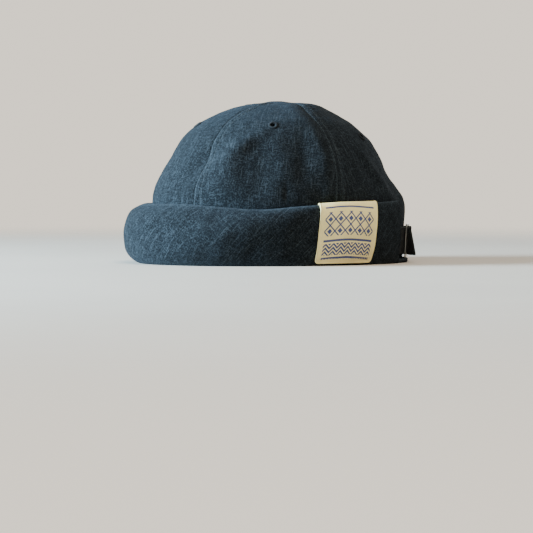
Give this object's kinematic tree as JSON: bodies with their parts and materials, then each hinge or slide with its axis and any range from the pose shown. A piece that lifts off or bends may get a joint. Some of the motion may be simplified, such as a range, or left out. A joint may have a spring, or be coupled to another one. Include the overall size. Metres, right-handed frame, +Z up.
{
  "type": "rolled-cuff cap",
  "caption": "Brimless linen cap with a gored crown, a rolled-up cuff, a cloth label folded over the cuff and an adjusting strap at the back.",
  "frame": {"origin": "middle of the cap's footprint, on the surface that it stands on", "axes": "+Z up, -X towards the wearer's front, -Y towards the wearer's left, where the label is"},
  "size_m": [0.2414, 0.1924, 0.1334],
  "materials": {
    "linen": "matte woven",
    "thread": "matte stitched",
    "label_cloth": "matte woven",
    "webbing": "matte woven",
    "nickel": "satin"
  },
  "bodies": {
    "root": {"crown_panel_front": "linen", "crown_panel_left": "linen", "crown_panel_back_left": "linen", "crown_panel_back_right": "linen", "crown_panel_right": "linen", "eyelet_front": "thread", "eyelet_left": "thread", "eyelet_back_left": "thread", "eyelet_back_right": "thread", "eyelet_right": "thread", "cuff": "linen", "label": "label_cloth", "back_hem": "linen", "back_strap": "webbing", "buckle_tab": "webbing", "buckle": "nickel"}
  },
  "joints": []
}
